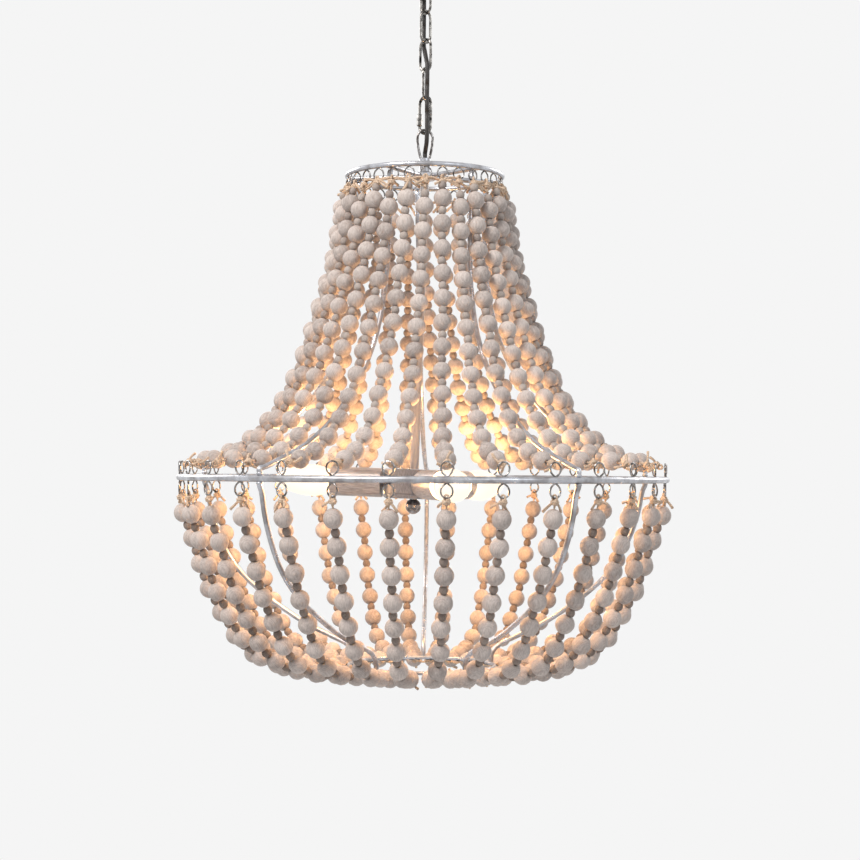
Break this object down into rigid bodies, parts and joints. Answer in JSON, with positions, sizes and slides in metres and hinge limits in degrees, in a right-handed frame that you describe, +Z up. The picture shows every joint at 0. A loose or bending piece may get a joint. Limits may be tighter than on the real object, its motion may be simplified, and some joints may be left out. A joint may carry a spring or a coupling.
{
  "type": "beaded chandelier",
  "caption": "Bell-over-bowl chandelier: wooden bead curtains on a welded rod frame, a cluster of candle lamps inside, hung on a chain from a ceiling rose.",
  "frame": {"origin": "middle of the strap's flat top face, which meets the ceiling", "axes": "+Z up through the ceiling; the picture looks along +Y at the front"},
  "size_m": [0.5435, 0.542, 0.8232],
  "materials": {
    "silver": "brushed silver paint over steel rod, slightly worn",
    "chain_steel": "bright steel wire with dark shading",
    "bead_wood": "grey-washed bare wood beads on natural twine",
    "twine": "natural jute twine",
    "sleeve": "pale silver brushed sleeve",
    "ceramic": "glazed ceramic",
    "bulb_glass": "frosted glass, lit warm",
    "bulb_cap": "screw cap",
    "cable": "dark round flex"
  },
  "bodies": {
    "ceiling_mount": {"rose_strap": "chain_steel", "rose_loop": "chain_steel", "supply_cable": "cable"},
    "rose": {"ceiling_rose": "silver", "ring_nut": "chain_steel"},
    "link_4": {"chain_link_4": "chain_steel"},
    "link_3": {"chain_link_3": "chain_steel"},
    "link_2": {"chain_link_2": "chain_steel"},
    "link_1": {"chain_link_1": "chain_steel"},
    "quick": {"quick_link": "chain_steel"},
    "quick_nut": {"quick_link_nut": "chain_steel"},
    "lantern": {"top_ring": "silver", "middle_ring": "silver", "lower_frame": "silver", "centre_stem": "silver", "lamp_hub": "silver", "finial_ball": "silver", "frame_loop": "silver", "upper_rib_1": "silver", "upper_rib_2": "silver", "upper_rib_3": "silver", "upper_rib_4": "silver", "upper_rib_5": "silver", "upper_strands_01": "bead_wood", "upper_strands_02": "bead_wood", "upper_strands_03": "bead_wood", "upper_strands_04": "bead_wood", "upper_strands_05": "bead_wood", "upper_strands_06": "bead_wood", "upper_strands_07": "bead_wood", "upper_strands_08": "bead_wood", "upper_strands_09": "bead_wood", "upper_strands_10": "bead_wood", "lower_strands_01": "bead_wood", "lower_strands_02": "bead_wood", "lower_strands_03": "bead_wood", "lower_strands_04": "bead_wood", "lower_strands_05": "bead_wood", "lower_strands_06": "bead_wood", "lower_strands_07": "bead_wood", "lower_strands_08": "bead_wood", "lower_strands_09": "bead_wood", "lower_strands_10": "bead_wood", "lower_strands_11": "bead_wood", "lower_strands_12": "bead_wood", "lower_strands_13": "bead_wood", "lower_strands_14": "bead_wood", "lower_strands_15": "bead_wood", "candle_sleeve_1": "sleeve", "candle_sleeve_2": "sleeve", "candle_sleeve_3": "sleeve", "lamp_holder_1": "ceramic", "lamp_holder_2": "ceramic", "lamp_holder_3": "ceramic"},
    "lamp_1": {"bulb_1": "bulb_glass"},
    "lamp_2": {"bulb_2": "bulb_glass"},
    "lamp_3": {"bulb_3": "bulb_glass"}
  },
  "joints": [
    {"name": "rose_drop", "type": "slide", "parent": "ceiling_mount", "child": "rose", "axis": [0, 0, 1], "range_m": [-0.018, 0]},
    {"name": "link_4_swing", "type": "hinge", "parent": "ceiling_mount", "child": "link_4", "pos_m": [0, 0, -0.062], "axis": [0.682, 0.7314, 0], "range_deg": [-15, 15], "deforming": ["supply_cable"]},
    {"name": "link_3_swing", "type": "hinge", "parent": "link_4", "child": "link_3", "pos_m": [0, 0, -0.0932], "axis": [0.682, -0.7314, 0], "range_deg": [-15, 15]},
    {"name": "link_2_swing", "type": "hinge", "parent": "link_3", "child": "link_2", "pos_m": [0, 0, -0.1249], "axis": [0.682, 0.7314, 0], "range_deg": [-15, 15]},
    {"name": "link_1_swing", "type": "hinge", "parent": "link_2", "child": "link_1", "pos_m": [0, 0, -0.1566], "axis": [0.7547, -0.6561, 0], "range_deg": [-15, 15]},
    {"name": "quick_link_swing", "type": "hinge", "parent": "link_1", "child": "quick", "pos_m": [0, 0, -0.1883], "axis": [0.309, 0.9511, 0], "range_deg": [-15, 15]},
    {"name": "quick_nut_lift", "type": "slide", "parent": "quick", "child": "quick_nut", "axis": [0, 0, 1], "range_m": [0, 0.008]},
    {"name": "lantern_swing", "type": "hinge", "parent": "quick", "child": "lantern", "pos_m": [0, 0, -0.22485], "axis": [0.766, -0.6428, 0], "range_deg": [-15, 15]},
    {"name": "bulb_1_turn", "type": "hinge", "parent": "lantern", "child": "lamp_1", "pos_m": [-0.00991, 0, -0.61045], "axis": [0.3419, -0.9397, -0.0101], "range_deg": [0, 1080]},
    {"name": "bulb_2_turn", "type": "hinge", "parent": "lantern", "child": "lamp_2", "pos_m": [-0.00991, 0, -0.61045], "axis": [0.6425, 0.766, -0.0191], "range_deg": [0, 1080]},
    {"name": "bulb_3_turn", "type": "hinge", "parent": "lantern", "child": "lamp_3", "pos_m": [-0.00991, 0, -0.61045], "axis": [-0.9844, 0.1736, 0.0292], "range_deg": [0, 1080]}
  ]
}
